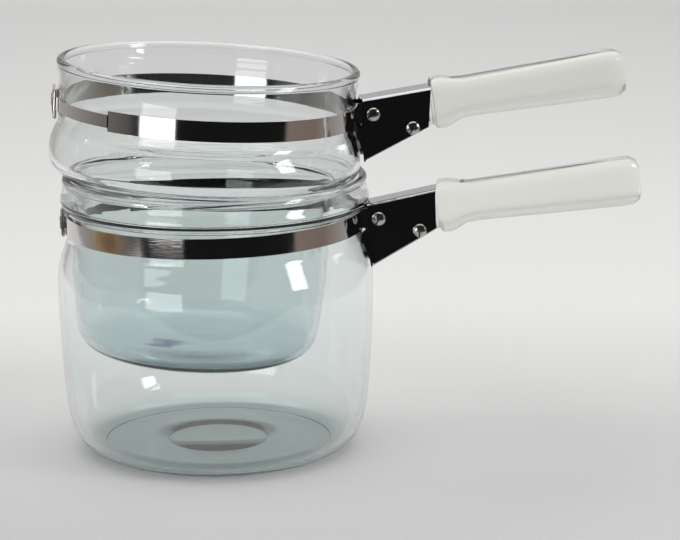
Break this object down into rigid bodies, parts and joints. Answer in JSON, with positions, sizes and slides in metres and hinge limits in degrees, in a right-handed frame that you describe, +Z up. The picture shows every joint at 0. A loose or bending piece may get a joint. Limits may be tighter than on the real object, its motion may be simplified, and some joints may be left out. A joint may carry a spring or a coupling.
{
  "type": "double boiler",
  "caption": "Stovetop double boiler: a clear glass saucepan and a glass insert that lifts out of its mouth, each with a steel strap, a folded bracket and a glass grip.",
  "frame": {"origin": "centre of the saucepan's flat base", "axes": "+Z up, +X along the saucepan's grip"},
  "size_m": [0.2838, 0.1526, 0.1925],
  "materials": {
    "saucepan_glass": "clear, polished",
    "insert_glass": "clear with a blue-grey tint, polished",
    "grip_glass": "solid pressed glass",
    "strap_steel": "polished stainless with heat tint",
    "bracket_steel": "polished stainless",
    "screw_steel": "nickel plated",
    "fibre": "pressed fibre"
  },
  "bodies": {
    "saucepan": {"saucepan_glass": "saucepan_glass", "saucepan_front_strap": "strap_steel", "saucepan_back_strap": "strap_steel", "saucepan_strap_link": "strap_steel", "saucepan_bracket": "bracket_steel", "saucepan_grip": "grip_glass", "saucepan_grip_liner": "fibre", "saucepan_clamp_screw": "screw_steel", "saucepan_clamp_nut": "screw_steel", "saucepan_grip_screw": "screw_steel", "saucepan_grip_nut": "screw_steel"},
    "insert": {"insert_glass": "insert_glass", "insert_front_strap": "strap_steel", "insert_back_strap": "strap_steel", "insert_strap_link": "strap_steel", "insert_bracket": "bracket_steel", "insert_grip": "grip_glass", "insert_grip_liner": "fibre", "insert_clamp_screw": "screw_steel", "insert_clamp_nut": "screw_steel", "insert_grip_screw": "screw_steel", "insert_grip_nut": "screw_steel"}
  },
  "joints": [
    {"name": "insert_lift", "type": "slide", "parent": "saucepan", "child": "insert", "axis": [0.0578, 0.0097, 0.9983], "range_m": [0, 0.12]}
  ]
}
